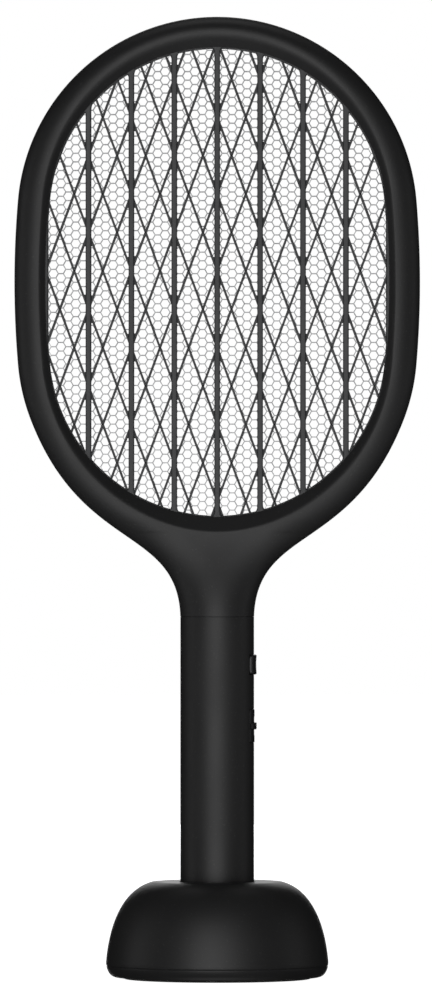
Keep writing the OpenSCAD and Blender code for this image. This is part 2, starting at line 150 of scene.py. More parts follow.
def to_mesh(name, parts, sharp=35.0):
    """One mesh in metres: doubles merged, faces turned out, edges over `sharp` degrees kept hard."""
    points, quads = joined(parts)
    mesh = bpy.data.meshes.new(name)
    mesh.from_pydata((points * MM).tolist(), [], quads.tolist())
    work = bmesh.new()
    work.from_mesh(mesh)
    bmesh.ops.remove_doubles(work, verts=work.verts, dist=2e-6)
    bmesh.ops.recalc_face_normals(work, faces=work.faces)
    work.to_mesh(mesh)
    work.free()
    mesh.polygons.foreach_set("use_smooth", np.ones(len(mesh.polygons), bool))
    mesh.set_sharp_from_angle(angle=math.radians(sharp))
    return mesh


def piece(name, parts, body, replaces=(), sharp=35.0, cut=()):
    """A finished piece that rides on a body, or on none when body is empty; `cut` surfaces are bored out
    of it.
    """
    thing = bpy.data.objects.new(name, to_mesh(name, parts, sharp))
    bpy.context.scene.collection.objects.link(thing)
    if cut:
        tool = bpy.data.objects.new(name + "_cutter", to_mesh(name + "_cutter", cut))
        bpy.context.scene.collection.objects.link(tool)
        bore = thing.modifiers.new("bore", "BOOLEAN")
        bore.operation, bore.solver, bore.object = "DIFFERENCE", "EXACT", tool
        done = thing.evaluated_get(bpy.context.evaluated_depsgraph_get())
        bored = bpy.data.meshes.new_from_object(done)
        thing.modifiers.clear()
        thing.data = bored
        bpy.data.objects.remove(tool)
        bored.polygons.foreach_set("use_smooth", np.ones(len(bored.polygons), bool))
        bored.set_sharp_from_angle(angle=math.radians(sharp))
    if body:
        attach(thing, body)
    if replaces:
        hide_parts(*replaces)
    thing.data.calc_loop_triangles()
    print(f"{name}: {len(thing.data.loop_triangles)} triangles")
    return thing


# %% [markdown]
# ## Profiles and what is turned from them
#
# Most of the small parts are turned: a closed profile in radius and height is carried round an axis.
# Moulded edges are never knife sharp, so `rounded` first puts a small arc in each corner, and that arc
# is what catches the light along an edge.

# %% Rounded profiles, turned parts, bars and tubes


def rounded(corners, radius, steps=5):
    """Closed outline with an arc in each corner.

    Each arc starts at the tangent length radius * tan(turn / 2) before the corner, capped at 0.45 of the
    shorter side, and blends the two sides with a quadratic curve through the corner's control point.
    """
    p = np.array(corners, float)
    before, after = np.roll(p, 1, 0) - p, np.roll(p, -1, 0) - p
    len_b, len_a = np.linalg.norm(before, axis=1), np.linalg.norm(after, axis=1)
    cos_in = np.clip((before * after).sum(1) / (len_b * len_a), -0.999, 0.999)
    reach = np.broadcast_to(radius, len(p)) / np.tan(np.arccos(cos_in) / 2)
    reach = np.minimum(reach, 0.45 * np.minimum(len_b, len_a))
    start = p + before * (reach / len_b)[:, None]
    end = p + after * (reach / len_a)[:, None]
    t = np.linspace(0, 1, steps)[None, :, None]
    arcs = (1 - t) ** 2 * start[:, None] + 2 * t * (1 - t) * p[:, None] + t * t * end[:, None]
    return arcs.reshape(-1, 2)


def turned(profile, steps=96, centre=(0, 0, 0), axis="z", turn=(0, 360)):
    """Profile points (radius, height) carried round an axis: x = r cos a, y = r sin a, z = h."""
    profile = np.asarray(profile, float)
    whole = turn[1] - turn[0] == 360
    a = np.radians(np.linspace(*turn, steps, endpoint=not whole))[:, None]
    r, h = profile[None, :, 0], profile[None, :, 1]
    x, y, z = r * np.cos(a), r * np.sin(a), h + 0 * a
    turned_to = {"z": (x, y, z), "y": (x, z, -y), "-y": (x, -z, y), "x": (z, y, -x)}[axis]
    return grid(np.stack(turned_to, -1) + np.array(centre), wrap_rows=whole, wrap_cols=True)


def extruded(outline, low, high, edge=0.3, steps=3):
    """A closed outline (a, b) raised from low to high, its two rims rounded by `edge`, its ends capped.

    Each ring is the outline pulled towards its middle by the rounding; the caps shrink to the middle.
    """
    outline = np.asarray(outline, float)
    centre = outline.mean(0)
    away = outline - centre
    length = np.linalg.norm(away, axis=1, keepdims=True)
    b = np.linspace(0, np.pi / 2, steps + 1)
    inset = np.concatenate([edge * (1 - np.sin(b)), edge * (1 - np.cos(b))])
    level = np.concatenate([low + edge * (1 - np.cos(b)), high - edge * (1 - np.sin(b))])
    scale = np.concatenate([[0], np.ones(len(inset)), [0]])
    inset = np.concatenate([[0], inset, [0]])
    level = np.concatenate([[low], level, [high]])
    ring = centre + away * (scale[:, None, None] * (1 - inset[:, None, None] / length))
    return np.concatenate([ring, np.broadcast_to(level[:, None, None], ring.shape[:2] + (1,))], -1)


def rounded_box(low, high, edge=0.4, corner=0.8):
    """A box between two corners with rounded upright edges and rims."""
    (x0, y0, z0), (x1, y1, z1) = low, high
    outline = rounded([(x0, y0), (x1, y0), (x1, y1), (x0, y1)], corner)
    return grid(extruded(outline, z0, z1, edge), wrap_cols=True)


def tube(path, radius, sides=12, reference=(0, 1, 0)):
    """A round wire along a path, closed at both ends.

    At each point two directions square to the path come from cross products with the reference.
    """
    path = np.asarray(path, float)
    along = np.gradient(path, axis=0)
    along /= np.linalg.norm(along, axis=1, keepdims=True)
    side = np.cross(along, np.broadcast_to(reference, along.shape))
    side /= np.linalg.norm(side, axis=1, keepdims=True)
    up = np.cross(side, along)
    r = np.concatenate([[0], np.full(len(path), radius), [0]])[:, None, None]
    path, side, up = (np.concatenate([v[:1], v, v[-1:]])[:, None] for v in (path, side, up))
    a = np.linspace(0, 2 * np.pi, sides, endpoint=False)[None, :, None]
    return grid(path + r * (np.cos(a) * side + np.sin(a) * up), wrap_cols=True)


# %% [markdown]
# ## Finishes as short expressions
#
# A finish is a small shader. Written out node by node it is long to read, so one class wraps a node's
# output and turns `+ - *` on it into Math nodes, and one method adds any other node. What varies over
# a surface drives only its colour, roughness or bump; what is the same everywhere is set on the shader.

# %% A value in a shader, and a finish that is built from such values


class Value:
    """One output socket; arithmetic on it adds Math nodes and gives a new Value."""

    def __init__(self, finish, socket):
        self.finish, self.socket = finish, socket

    def math(self, operation, a, b):
        return self.finish.node("ShaderNodeMath", {"operation": operation}, {0: a, 1: b})

    def __add__(self, other):
        return self.math("ADD", self, other)

    def __sub__(self, other):
        return self.math("SUBTRACT", self, other)

    def __mul__(self, other):
        return self.math("MULTIPLY", self, other)

    def __rsub__(self, other):
        return self.math("SUBTRACT", other, self)

    __radd__, __rmul__ = __add__, __mul__


class Finish:
    """A material with one Principled shader; keyword numbers go straight onto its sockets."""

    def __init__(self, name, **same_everywhere):
        self.material = bpy.data.materials.new(name)
        self.material.use_nodes = True
        self.tree = self.material.node_tree
        self.shader = self.tree.nodes["Principled BSDF"]
        for key, value in same_everywhere.items():
            self.shader.inputs[key.replace("_", " ")].default_value = value

    def node(self, kind, settings=None, inputs=None, output=0):
        """Adds a node, sets its settings, then its sockets by name or number, and returns an output."""
        made = self.tree.nodes.new(kind)
        for key, value in (settings or {}).items():
            setattr(made, key, value)
        for key, value in (inputs or {}).items():
            self.feed(made.inputs[key], value)
        return Value(self, made.outputs[output])

    def feed(self, socket, value):
        """Links a Value to a socket, or sets a plain number or colour on it."""
        if isinstance(value, Value):
            self.tree.links.new(value.socket, socket)
        else:
            socket.default_value = value

    def place(self, stretch=(1, 1, 1)):
        """Object coordinates, stretched."""
        here = self.node("ShaderNodeTexCoord", output="Object")
        return self.node("ShaderNodeMapping", None, {"Vector": here, "Scale": stretch})

    def noise(self, scale, detail=2.0, stretch=(1, 1, 1)):
        """Smooth noise from 0 to 1; scale is in bumps per metre."""
        return self.node(
            "ShaderNodeTexNoise", None,
            {"Vector": self.place(stretch), "Scale": scale, "Detail": detail},
        )

    def spread(self, value, low, high, to_low=0.0, to_high=1.0):
        """Maps low..high to to_low..to_high and clamps."""
        return self.node(
            "ShaderNodeMapRange", None,
            {"Value": value, "From Min": low, "From Max": high, "To Min": to_low, "To Max": to_high},
        )

    def colours(self, share, first, second):
        """Mixes two colours by a share from 0 to 1."""
        return self.node(
            "ShaderNodeMix", {"data_type": "RGBA"},
            {"Factor": share, 6: self.colour(first), 7: self.colour(second)}, output=2,
        )

    @staticmethod
    def colour(value):
        """A Value as it is, or three numbers with an alpha of one."""
        return value if isinstance(value, Value) else (*value, 1.0)

    def set(self, colour, roughness, height, depth):
        """Feeds the shader: colour, roughness, and a height map as bump of the given depth in metres."""
        bump = self.node(
            "ShaderNodeBump", None, {"Height": height, "Distance": depth, "Strength": 1.0},
            output="Normal",
        )
        self.feed(self.shader.inputs["Base Color"], self.colour(colour))
        self.feed(self.shader.inputs["Roughness"], roughness)
        self.feed(self.shader.inputs["Normal"], bump)
        return self.material


# %% [markdown]
# ## The plastics
#
# Injection-moulded ABS takes its look from the steel mould: an even, very fine spark-eroded grain over
# which light spreads softly. Grain is bump far smaller than a millimetre; handling adds faint patches
# where the grain is polished, so roughness also drifts slowly over the surface.

# %% Moulded plastic in its several blacks and greys


def moulded(name, dark, light, rough, grain=0.000012, polish=0.07, grain_scale=2600):
    """Grained plastic: slow drift of tone and polish, a fine grain as bump, and a few specks of dust."""
    finish = Finish(name, Specular_IOR_Level=0.5)
    drift = finish.noise(22, 3)
    fine = finish.noise(grain_scale, 1)
    speck = finish.spread(finish.noise(900, 0), 0.74, 0.80)
    tone = finish.colours(drift, dark, light)
    tone = finish.colours(speck * 0.08, tone, (0.16, 0.16, 0.155))
    polished = finish.spread(drift, 0.35, 0.7)
    return finish.set(
        colour=tone,
        roughness=polished * polish + (rough - polish / 2) + fine * 0.04,
        height=fine,
        depth=grain,
    )


fine_grain = 0.000006
shell_black = moulded("satin black shell", (0.016, 0.016, 0.0165), (0.020, 0.020, 0.0205), 0.50)
handle_black = moulded("soft black handle", (0.015, 0.015, 0.0155), (0.019, 0.019, 0.0195), 0.50)
dock_black = moulded("half gloss dock", (0.015, 0.015, 0.0155), (0.019, 0.019, 0.0195), 0.46,
                     grain=fine_grain)
grille_grey = moulded("grey nylon grille", (0.031, 0.032, 0.034), (0.044, 0.045, 0.048), 0.46)
button_black = moulded("control black", (0.012, 0.012, 0.013), (0.016, 0.016, 0.017), 0.36,
                       grain=fine_grain)
inner_black = moulded("plain inner moulding", (0.022, 0.022, 0.024), (0.03, 0.03, 0.032), 0.55,
                      polish=0.15)
rubber = moulded("matt rubber", (0.018, 0.018, 0.018), (0.028, 0.028, 0.027), 0.85, grain=0.00004,
                 grain_scale=1400)
print("plastics made")

# %% [markdown]
# ## The metals
#
# The nets are punched from bright sheet, so they carry a faint rolled direction and tiny dark stains.
# Screws are zinc plated, with a blue-grey bloom; contacts are flashed with gold; the ballast is plain
# punched steel with a mill skin.

# %% Metals


def metal(name, pale, stained, rough, stretch=(1, 1, 1), stain_scale=260):
    """Bare metal: stains shift the colour, fine lines along one direction shift roughness and bump."""
    finish = Finish(name, Metallic=1.0)
    stain = finish.spread(finish.noise(stain_scale, 4), 0.45, 0.75)
    lines = finish.noise(3000, 2, stretch)
    return finish.set(
        colour=finish.colours(stain, pale, stained),
        roughness=lines * 0.16 + (rough - 0.08) + stain * 0.08,
        height=lines,
        depth=0.000004,
    )


net_metal = metal("bright net", (0.27, 0.273, 0.277), (0.20, 0.203, 0.208), 0.38, stretch=(1, 1, 0.05))
screw_steel = metal("zinc screw", (0.62, 0.64, 0.68), (0.42, 0.44, 0.47), 0.3)
spring_steel = metal("drawn spring wire", (0.55, 0.55, 0.56), (0.4, 0.4, 0.41), 0.28)
ballast_steel = metal("mill skin steel", (0.36, 0.37, 0.39), (0.2, 0.2, 0.21), 0.45, stain_scale=60)
contact_gold = metal("gold contact", (0.93, 0.71, 0.33), (0.78, 0.55, 0.25), 0.22)
nickel = metal("nickel socket", (0.68, 0.67, 0.64), (0.5, 0.49, 0.47), 0.25)
print("metals made")

# %% [markdown]
# ## Inside finishes
#
# Nobody sees these parts unless the handle is opened, but they are what makes it an electric swatter: a
# green board with lighter traces, a blue wrapped cell, a taped transformer, a dipped capacitor and two
# red silicone leads.

# %% Board, cell, winding, capacitor and lead


def printed_board():
    """Green mask over copper: bricks laid on edge read as traces, small dots as plated holes."""
    finish = Finish("green board", Coat_Weight=0.4, Coat_Roughness=0.15)
    trace = finish.node(
        "ShaderNodeTexBrick", {"offset": 0.5},
        {"Vector": finish.place(), "Scale": 260.0, "Mortar Size": 0.012, "Color1": (1, 1, 1, 1),
         "Color2": (0.8, 0.8, 0.8, 1), "Mortar": (0, 0, 0, 1)},
        output="Fac",
    )
    dots = finish.node(
        "ShaderNodeTexVoronoi", None, {"Vector": finish.place(), "Scale": 330.0}, output="Distance",
    )
    plated = finish.spread(dots, 0.2, 0.14)
    green = finish.colours(trace, (0.008, 0.085, 0.035), (0.02, 0.2, 0.08))
    return finish.set(
        colour=finish.colours(plated, green, (0.72, 0.6, 0.34)),
        roughness=plated * -0.15 + 0.42,
        height=trace,
        depth=0.00003,
    )


def wrapped(name, first, second, rough=0.3, scale=90, stretch=(1, 1, 1)):
    """A thin skin over something round: slow wrinkles in tone and height."""
    finish = Finish(name, Coat_Weight=0.3, Coat_Roughness=0.2)
    wrinkle = finish.noise(scale, 3, stretch)
    return finish.set(
        colour=finish.colours(finish.spread(wrinkle, 0.3, 0.7), first, second),
        roughness=wrinkle * 0.2 + (rough - 0.1),
        height=wrinkle,
        depth=0.00006,
    )


board_green = printed_board()
cell_blue = wrapped("blue cell wrap", (0.02, 0.09, 0.26), (0.03, 0.13, 0.36), stretch=(1, 1, 0.2))
tape_yellow = wrapped("yellow tape", (0.62, 0.42, 0.06), (0.74, 0.53, 0.1), stretch=(1, 1, 8))
resin_brown = wrapped("dipped resin", (0.28, 0.07, 0.03), (0.4, 0.12, 0.05), 0.25, 60)
lead_red = wrapped("red silicone lead", (0.42, 0.015, 0.012), (0.55, 0.03, 0.02), 0.5, 400)
print("inside finishes made")


def dress(thing, material):
    """Gives a piece, or a part straight from the frame, one material in every slot."""
    slots = thing.data.materials
    for i in range(len(slots)):
        slots[i] = material
    if not len(slots):
        slots.append(material)
    return thing


# %% [markdown]
# ## The outline of the head
#
# The head is four arcs: two round ends of one radius, and two very flat side arcs that meet them
# smoothly. Every line of the head (rim, crest, opening, grille, net) is this outline moved inwards, and
# an arc moved inwards is an arc about the same centre, so one formula gives them all.

# %% The four arcs, the neck's curve, and how far a point is inside

side_r = (half_w**2 - end_r**2 + end_gap**2 / 4) / (2 * (half_w - end_r))
side_x = side_r - half_w
blend = math.degrees(math.asin(end_gap / 2 / (side_r - end_r)))


def rim_point(a, off):
    """Right half of the outline at direction a (degrees, -90 to 90), moved in by off: (x, z)."""
    a, off = np.broadcast_arrays(np.asarray(a, float), np.asarray(off, float))
    c, s = np.cos(np.radians(a)), np.sin(np.radians(a))
    on_side = np.abs(a) < blend
    x = np.where(on_side, -side_x + (side_r - off) * c, (end_r - off) * c)
    z = np.where(on_side, mid_z + (side_r - off) * s, np.where(a < 0, low_z, high_z) + (end_r - off) * s)
    return np.stack([np.maximum(x, 0), z], -1)


def outside_by(x, z):
    """Signed distance from the outline: negative inside. The nearest arc is the side or the end one."""
    x, up = np.abs(x), np.abs(z - mid_z)
    near_side = np.degrees(np.arctan2(up, x + side_x)) < blend
    return np.where(
        near_side, np.hypot(x + side_x, up) - side_r, np.hypot(x, up - end_gap / 2) - end_r
    )


flare_angle = math.radians(20.9)  # below the lower centre, where the neck's curve leaves the end arc
flare_end = np.array([end_r * math.cos(flare_angle), low_z - end_r * math.sin(flare_angle)])
flare_start = np.array([handle_r, seam_z - 2.8])
flare_curve = np.array([
    flare_start,
    flare_start + [0, 51.5],
    flare_end - 78.3 * np.array([math.sin(flare_angle), math.cos(flare_angle)]),
    flare_end,
])


def bezier(control, t):
    """Cubic curve through its first and last control points."""
    t = np.asarray(t, float)[:, None]
    p = control
    return (1 - t) ** 3 * p[0] + 3 * (1 - t) ** 2 * t * p[1] + 3 * (1 - t) * t * t * p[2] + t**3 * p[3]


flare = bezier(flare_curve, np.linspace(0, 1, 400))


def neck_x(z):
    """Half width of the outline at height z: the neck's curve, then the lower end's arc."""
    on_arc = np.sqrt(np.maximum(end_r**2 - (z - low_z) ** 2, 0))
    return np.where(z < flare_end[1], np.interp(z, flare[:, 1], flare[:, 0]), on_arc)


def ease(t):
    """0 to 1 with flat ends: t * t * (3 - 2 t)."""
    t = np.clip(t, 0, 1)
    return t * t * (3 - 2 * t)


print("side arc radius", round(side_r, 1), "meets the ends at", round(blend, 2), "degrees")

# %% [markdown]
# ## The head shells
#
# Each shell is half of the rim and half of the neck. Across the rim, its skin rises from the parting
# plane as a quarter ellipse to a crest, then falls as a straight slope to the opening. Down the neck the
# slope is gone and the quarter ellipses from both sides meet in the middle, while the depth grows from
# the rim's to the handle's radius. So the skin is one grid: stations along the outline, and an angle
# from the parting plane to the crest. A shallow step at the parting plane draws the line that shows
# where the two shells meet.

# %% Stations along one side of a shell

end_steps = 72
side_steps = 20
neck_steps = 48
station_a = np.concatenate([
    np.linspace(-90, -blend, end_steps),
    np.linspace(-blend, blend, side_steps)[1:-1],
    np.linspace(blend, 90, end_steps),
])


def crest_in(a):
    """Distance of the crest from the outline: further in at the sides, by 4.5 cos^2 a."""
    return crest + side_shift * np.cos(np.radians(a)) ** 2


def lip_y(a):
    """Height of the opening's edge above the parting plane: higher at the sides, by 2 cos^2 a."""
    return lip_out + side_lift * np.cos(np.radians(a)) ** 2


crest_line = rim_point(station_a, crest_in(station_a))
radial_line = rim_point(station_a, 0)
turn_in = ease((-station_a - 50) / 40)
edge_z = crest_line[:, 1] + (radial_line[:, 1] - crest_line[:, 1]) * (1 - turn_in)
low_part = station_a < -blend
edge_line = np.where(low_part[:, None], np.stack([neck_x(edge_z), edge_z], -1), radial_line)

neck_z = np.linspace(seam_z - 0.2, crest_low_z, neck_steps)[:-1]
neck_depth = handle_r + (half_t - handle_r) * ease((neck_z - seam_z) / (crest_low_z - seam_z))
all_edge = np.concatenate([np.stack([neck_x(neck_z), neck_z], -1), edge_line])
all_crest = np.concatenate([np.stack([0 * neck_z, neck_z], -1), crest_line])
all_depth = np.concatenate([neck_depth, np.full(len(crest_line), half_t)])
print("stations along one side:", len(all_edge))

# %% [markdown]
# Where the neck meets the rim its ridge has to split in two without a crease. So the neck's middle is
# given a flat that starts as a point well below the rim and widens as a parabola, until it is as wide
# as the two crests stand apart.

# %% Sections from the parting plane to the crest

flat_start = 215.0
flat_end = crest_low_z + 7
lowest = station_a < -50
half_flat = np.interp(flat_end, crest_line[lowest, 1], crest_line[lowest, 0])
widening = half_flat * np.clip((all_crest[:, 1] - flat_start) / (flat_end - flat_start), 0, 1) ** 2
widening = np.where(all_crest[:, 1] < flat_end, widening, 0)
flat_x = np.maximum(all_crest[:, 0], widening)
rounded_share = np.clip((all_edge[:, 0] - flat_x) / (all_edge[:, 0] - all_crest[:, 0]), 0.2, 1)
flat_columns = 6
print("the neck's flat ends", round(2 * float(half_flat), 1), "wide")


def skin(inset, groove=0.0, steps=26):
    """Quarter ellipses from edge to crest: the share across is 1 - cos b, the depth is sin b.

    Two extra columns at the parting plane make a groove; the last ones are the neck's flat.
    """
    toward = all_crest - all_edge
    toward = toward / np.linalg.norm(toward, axis=1, keepdims=True)
    edge = all_edge + toward * inset
    b = np.radians(np.linspace(1.6, 90, steps))
    share = rounded_share[:, None] * (1 - np.cos(b))[None]
    flat_step = np.linspace(0, 1, flat_columns + 1)[None, 1:]
    flat = rounded_share[:, None] + (1 - rounded_share[:, None]) * flat_step
    share = np.concatenate([share, flat], 1)
    across = edge[:, None] + (all_crest - edge)[:, None] * share[..., None]
    high = np.concatenate([np.sin(b), np.ones(flat_columns)])
    depth = (all_depth - inset)[:, None] * high[None]
    floor = (edge + toward * groove)[:, None]
    across = np.concatenate([floor, floor, across], 1)
    depth = np.concatenate([0 * depth[:, :1], depth[:, :1], depth], 1)
    return np.stack([across[..., 0], -depth, across[..., 1]], -1)


def slope(steps=16):
    """From the crest in to the opening, over the lip and back along the ledge.

    The slope eases out of the crest as fall = t^2 / (2 soft) and is straight after t = soft. At the
    bottom the crest is crisp; soft grows from 0.08 there to 0.55 at the sides and the top.
    """
    t = np.linspace(0, 1, steps)[None]
    soft = 0.55 - 0.47 * np.clip(-np.sin(np.radians(station_a)), 0, 1)[:, None] ** 6
    fall = np.where(t < soft, t * t / (2 * soft), t - soft / 2) / (1 - soft / 2)
    start, lip = crest_in(station_a)[:, None], lip_y(station_a)[:, None]
    off = start + (rim_w - 0.35 - start) * t
    depth = half_t - (half_t - lip) * fall
    one = np.ones_like(lip)
    over_lip = [(rim_w - 0.1) * one, rim_w * one, rim_w * one, (rim_w - 3) * one, start]
    off = np.concatenate([off, *over_lip], 1)
    depth = np.concatenate([depth, lip - 0.22, lip - 0.6, lip_in * one, lip_in * one, lip], 1)
    ring = rim_point(station_a[:, None], off)
    return np.stack([ring[..., 0], -depth, ring[..., 1]], -1)


def half_shell():
    """Outer skin, inner skin, slope with lip, parting face and foot: one side of the front shell."""
    outer, inner, inward = skin(0, groove=0.28), skin(wall), slope()
    inward[:, 0] = outer[len(neck_z):, -1]
    inward[:, -1] = inner[len(neck_z):, -1]
    parting = np.stack([outer[:, 0], inner[:, 0]], 1)
    foot = np.stack([outer[0], inner[0]])
    return [grid(surface) for surface in (outer, inner, inward, parting, foot)]


def spigot_half():
    """Half of the tube that the handle slides over, in front of the parting plane."""
    inner, outer, steps = bore_r - 2.25, bore_r - 0.15, 40
    profile = [(inner, seam_z - 14), (outer, seam_z - 14), (outer, seam_z),
               (bore_r + 1, seam_z + 0.3), (bore_r + 1, seam_z + 2.2), (inner, seam_z + 2.2)]
    half = turned(rounded(profile, 0.25, 3), steps, turn=(180.2, 359.8))[0].reshape(steps, -1, 3)
    return capped(half)


right_side = half_shell()
front_parts = right_side + [mirrored(part, 0) for part in right_side] + [spigot_half()]
rear_parts = [mirrored(part, 1) for part in front_parts]

boss_in = 8.6  # from the outline in to a screw
neck_screw = [24.0, crest_low_z - 5]
screw_spots = rim_point(np.array([-28.0, 0.0, 45.0]), boss_in)
screw_spots = np.concatenate([screw_spots, [neck_screw]])
screw_spots = np.concatenate([screw_spots, screw_spots * [-1, 1]])


def well(x, z):
    """A closed drum that bores one screw well from behind."""
    return turned([(0, 5.2), (2.5, 5.2), (2.5, 16), (0, 16)], 40, (x, 0, z), "y")


head_front = piece("head_front", front_parts, "racket", ["head_front_shell"], 32)
head_rear = piece("head_rear", rear_parts, "racket", ["head_rear_shell"], 32,
                  cut=[well(x, z) for x, z in screw_spots])


def cup(x, z, side):
    """The moulded post round a screw; behind, it opens into a cup for the screw's head."""
    deep = 6 if side > 0 else 9.2
    outline = [(1.35, 0.4), (3.2, 0.4), (3.2, 9.6), (2.5, 9.6), (2.5, deep), (1.35, deep)]
    return turned(rounded(outline, 0.12, 3), 32, (x, 0, z), "y" if side > 0 else "-y")


posts = piece("head_posts", [cup(x, z, side) for x, z in screw_spots for side in (-1, 1)],
              "racket")
dress(head_front, shell_black)
dress(head_rear, shell_black)
dress(posts, shell_black)

# %% [markdown]
# ## The grille
#
# Behind each opening lies one moulded grille: nine upright ribs, and between them a lattice of thin
# slanted bars. The ribs stand proud of the bars and spread into a small fillet where they run into the
# rim. Each rib is a closed profile carried up the opening, and its width is a function of how near the
# edge it is. All the bars of one slant are one array: a line, the two places where it leaves the
# opening, and a small section with a rounded front. Where two bars cross a rib, small three-cornered
# webs fill the sharp corners, as they do in a moulding.

# %% Ribs, slanted bars and their ring

rib_pitch = 22.95
rib_w = 3.0
bar_w = 1.2
cross_pitch = 41.1
grille_back = -box_mm("ground_net")[0][1]
grille_front = lip_out - 0.4
bar_t = 1.6


def edge_height(x, off):
    """Half height of the outline moved in by off, above the head's middle, at distance x."""
    x = np.abs(x)
    r, big = end_r - off, side_r - off
    on_end = end_gap / 2 + np.sqrt(np.maximum(r * r - x * x, 0))
    on_side = np.sqrt(np.maximum(big * big - (x + side_x) ** 2, 0))
    return np.where(x < r * math.cos(math.radians(blend)), on_end, on_side)


def rib(x0, rows=90, fillet=3.6):
    """One upright rib: half width 1.5, plus a fillet arc as the end of the rib nears the edge."""
    t = np.sin(np.linspace(-1, 1, rows) * np.pi / 2)
    corners = [(-1, grille_back), (-1, grille_front), (1, grille_front), (1, grille_back)]
    section = rounded(corners, [0.1, 0.55, 0.55, 0.1], 5)
    left = edge_height(x0, rim_w - 0.5) * (1 - np.abs(t))
    arc = fillet - np.sqrt(np.maximum(fillet**2 - (fillet - left) ** 2, 0))
    spread = np.where(left < fillet, arc, 0)
    x = x0 + section[None, :, 0] * (rib_w / 2 + spread * 0.8)[:, None]
    z = mid_z + t[:, None] * edge_height(x, rim_w - 0.5)
    y = np.broadcast_to(-section[None, :, 1], x.shape)
    return capped(np.stack([x, y, z], -1))


def bars(slant):
    """All bars of one slant: each line's two crossings with the edge come from halving the interval."""
    k = np.arange(-14, 15)
    base = np.stack([k * rib_pitch * 2 / 3, np.full(len(k), low_z)], -1)
    rise = math.atan2(cross_pitch / 2, rib_pitch / 3)
    way = np.array([slant * math.cos(rise), math.sin(rise)])
    square = np.array([way[1], -way[0]])
    middle = base + ((mid_z - base[:, 1]) / way[1])[:, None] * way
    inward = -middle[:, 0] * way[0]
    centre = middle + inward[:, None] * way
    ends = []
    for direction in (-1, 1):
        near, far = np.zeros(len(k)), np.full(len(k), 200.0)
        for _ in range(40):
            half = (near + far) / 2
            at = centre + direction * half[:, None] * way
            inside = outside_by(at[:, 0], at[:, 1]) < -(rim_w - 0.8)
            near, far = np.where(inside, half, near), np.where(inside, far, half)
        ends.append(centre + direction * near[:, None] * way)
    long_enough = np.linalg.norm(ends[1] - ends[0], axis=1) > 2.5
    ends = np.stack(ends, 1)[long_enough]
    half, depth = bar_w / 2, grille_back + bar_t
    corners = [(-half, grille_back), (-half, depth), (half, depth), (half, grille_back)]
    section = rounded(corners, [0.05, 0.3, 0.3, 0.05], 3)
    ring = ends[:, :, None] + section[None, None, :, :1] * square
    first, last = ends[:, :1, None] + 0 * ring[:, :1], ends[:, 1:, None] + 0 * ring[:, :1]
    ring = np.concatenate([first, ring, last], 1)
    y = np.broadcast_to(-section[:, 1], ring.shape[:3]).copy()
    y[:, [0, -1]] = -(grille_back + depth) / 2
    points = np.stack([ring[..., 0], y, ring[..., 1]], -1)
    return [grid(bar, wrap_cols=True) for bar in points]


def gussets(reach=7.4):
    """Webs where two bars cross a rib: a triangle from the crossing out to the two bars, up and down."""
    spread = reach * (rib_pitch / 3) / (cross_pitch / 2)
    found = []
    for k in range(-4, 5):
        for m in range(-4, 5):
            x, z = k * rib_pitch, low_z + cross_pitch * (m + 0.5 * (k % 2))
            for side in (-1, 1):
                z_far = z + side * reach
                outline = np.array([(x, z), (x + spread, z_far), (x - spread, z_far)])
                if (outside_by(outline[:, 0], outline[:, 1]) < -rim_w).all():
                    web = extruded(outline[::side], grille_back + 0.05, grille_back + bar_t - 0.1, 0.2)
                    points, quads = grid(web, wrap_cols=True)
                    found.append((points[:, [0, 2, 1]] * [1, -1, 1], quads))
    return found


def loop(offs, depths):
    """A closed section (distance in, depth) carried round the whole outline."""
    right = rim_point(station_a[:, None], np.asarray(offs)[None])
    left = right[::-1][1:-1] * [-1, 1]
    ring = np.concatenate([right, left])
    y = np.broadcast_to(-np.asarray(depths), ring.shape[:2])
    return grid(np.stack([ring[..., 0], y, ring[..., 1]], -1), wrap_rows=True, wrap_cols=True)


hoop = rounded([(rim_w - 4.5, grille_back), (rim_w - 4.5, lip_in), (rim_w + 0.6, lip_in),
                (rim_w + 0.6, grille_back)], [0.1, 0.1, 0.35, 0.1], 4)
grille_parts = [rib(k * rib_pitch) for k in range(-4, 5)] + bars(1) + bars(-1) + gussets()
grille_parts.append(loop(hoop[:, 0], hoop[:, 1]))
rear_grille_parts = [mirrored(part, 1) for part in grille_parts]
for name, parts, node in (("grille_front", grille_parts, "front_grille"),
                          ("grille_rear", rear_grille_parts, "rear_grille")):
    dress(piece(name, parts, "racket", [node], 40), grille_grey)

# %% [markdown]
# ## The nets
#
# The two nets are punched sheet, like a honeycomb with cells a few millimetres across. One cell is a
# ring between two hexagons: the outer one is shared with its neighbours, the inner one is the hole. So
# a whole net is one array over cells, corners and the two faces. Where a cell has no neighbour, its
# outer side gets a wall, which closes the sheet.

# %% Honeycomb sheet

cell_pitch = 4.6
cell_wall = 0.52
net_in = rim_w - 0.6  # from the outline in to the middles of the outermost cells
column_step = cell_pitch * math.sqrt(3) / 2


